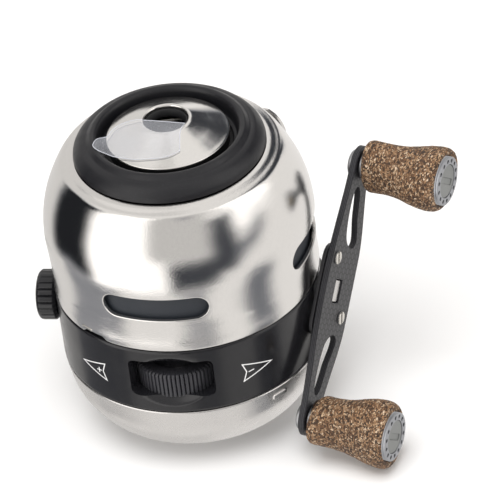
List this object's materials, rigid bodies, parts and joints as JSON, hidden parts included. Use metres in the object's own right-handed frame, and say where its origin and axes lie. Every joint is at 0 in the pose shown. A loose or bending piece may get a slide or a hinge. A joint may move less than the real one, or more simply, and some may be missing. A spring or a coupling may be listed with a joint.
{
  "type": "spincast fishing reel",
  "caption": "Closed-face fishing reel with polished steel nose cover, black body band, thumb button, carbon crank arm with cork knobs, drag wheel and rod foot.",
  "frame": {"origin": "on the reel's axis, at the outer face of the thumb button in the rear cover's rest plane", "axes": "+Z along the reel's axis towards the line hole, +X along the crank towards the handle, +Y towards the rod foot's seat face"},
  "size_m": [0.0977, 0.0784, 0.0854],
  "materials": {
    "polished_steel": "polished",
    "satin_steel": "satin",
    "dark_steel": "satin",
    "nickel_screws": "polished",
    "black_plastic": "semi-gloss",
    "grey_plastic": "matte",
    "anodised_black": "satin",
    "ring_rubber": "matte",
    "carbon_plate": "satin",
    "cork_composite": "open grain",
    "grey_aluminium": "satin",
    "brass_gear": "machined",
    "clear_film": "glossy clear",
    "nylon_line": "satin",
    "white_ceramic": "gloss"
  },
  "bodies": {
    "frame": {"body_frame": "black_plastic", "bearing_plate": "satin_steel", "gear_deck": "satin_steel", "front_bearing": "dark_steel", "rear_bearing": "dark_steel", "plate_screw_1": "nickel_screws", "plate_screw_2": "nickel_screws", "plate_screw_3": "nickel_screws", "plate_screw_4": "nickel_screws", "rear_cover": "satin_steel", "reel_foot": "satin_steel", "foot_screw_1": "nickel_screws", "foot_screw_2": "nickel_screws", "crank_bearing": "dark_steel", "crank_bush": "dark_steel", "button_spring": "dark_steel", "spool_clip": "dark_steel"},
    "cover": {"front_cover": "polished_steel", "cover_liner": "grey_plastic", "nose_ring": "ring_rubber", "nose_cone": "polished_steel", "line_guide": "dark_steel", "nose_film": "clear_film"},
    "crank": {"crank_shaft": "satin_steel", "drive_gear": "brass_gear", "handle_arm": "carbon_plate", "handle_hub": "anodised_black", "arm_screw_1": "nickel_screws", "arm_screw_2": "nickel_screws", "upper_knob_spindle": "satin_steel", "lower_knob_spindle": "satin_steel", "upper_knob_nut": "brass_gear", "lower_knob_nut": "brass_gear"},
    "upper_knob": {"upper_knob_grip": "cork_composite", "upper_knob_cap": "grey_aluminium", "upper_knob_inner_bearing": "dark_steel", "upper_knob_outer_bearing": "dark_steel"},
    "lower_knob": {"lower_knob_grip": "cork_composite", "lower_knob_cap": "grey_aluminium", "lower_knob_inner_bearing": "dark_steel", "lower_knob_outer_bearing": "dark_steel"},
    "pinion": {"pinion_gear": "brass_gear"},
    "button": {"thumb_button": "black_plastic"},
    "spinner": {"centre_shaft": "satin_steel", "spinner_head": "satin_steel", "spinner_nut": "brass_gear"},
    "pickup": {"pickup_pin": "white_ceramic"},
    "spool": {"spool": "black_plastic", "line_pack": "nylon_line"},
    "drag_adjuster": {"drag_wheel": "black_plastic", "drag_shaft": "satin_steel", "drag_pinion": "brass_gear"},
    "drag_nut": {"drag_ring": "satin_steel", "drag_washer": "dark_steel"},
    "selector": {"selector_knob": "black_plastic", "selector_shaft": "dark_steel"}
  },
  "joints": [
    {"name": "cover_lift", "type": "slide", "parent": "frame", "child": "cover", "axis": [0, 0, 1], "range_m": [0, 0.045]},
    {"name": "crank_turn", "type": "hinge", "parent": "frame", "child": "crank", "pos_m": [0, 0.009, 0.034], "axis": [1, 0, 0], "continuous": true},
    {"name": "upper_knob_turn", "type": "hinge", "parent": "crank", "child": "upper_knob", "pos_m": [0.05, 0.02947, 0.0584], "axis": [1, 0, 0], "continuous": true},
    {"name": "lower_knob_turn", "type": "hinge", "parent": "crank", "child": "lower_knob", "pos_m": [0.05, -0.01147, 0.0096], "axis": [1, 0, 0], "continuous": true},
    {"name": "pinion_turn", "type": "hinge", "parent": "frame", "child": "pinion", "pos_m": [0, 0, 0.02], "axis": [0, 0, 1], "continuous": true},
    {"name": "button_press", "type": "slide", "parent": "frame", "child": "button", "axis": [0, 0, 1], "range_m": [0, 0.0035], "stiffness_N_per_m": 400, "springref_m": -0.004, "deforming": ["button_spring"]},
    {"name": "spinner_slide", "type": "slide", "parent": "pinion", "child": "spinner", "axis": [0, 0, 1], "range_m": [0, 0.0035]},
    {"name": "pickup_retract", "type": "slide", "parent": "spinner", "child": "pickup", "axis": [0.866, -0.5, 0], "range_m": [-0.0025, 0]},
    {"name": "spool_turn", "type": "hinge", "parent": "frame", "child": "spool", "pos_m": [0, 0, 0.058], "axis": [0, 0, 1], "continuous": true},
    {"name": "drag_turn", "type": "hinge", "parent": "frame", "child": "drag_adjuster", "pos_m": [0.00649, -0.01997, 0.027], "axis": [0, 0, 1], "range_deg": [-270, 270]},
    {"name": "drag_nut_turn", "type": "hinge", "parent": "frame", "child": "drag_nut", "pos_m": [0, 0, 0.053], "axis": [0, 0, 1], "range_deg": [-85, 85]},
    {"name": "selector_turn", "type": "hinge", "parent": "frame", "child": "selector", "pos_m": [-0.02848, -0.00942, 0.0309], "axis": [-0.9494, -0.314, 0], "range_deg": [0, 40]}
  ],
  "couplings": [
    {"joint": "pinion_turn", "follows": "crank_turn", "ratio": 3.6667},
    {"joint": "spinner_slide", "follows": "button_press", "ratio": 1},
    {"joint": "pickup_retract", "follows": "button_press", "ratio": -0.7},
    {"joint": "drag_nut_turn", "follows": "drag_turn", "ratio": -0.3125}
  ]
}
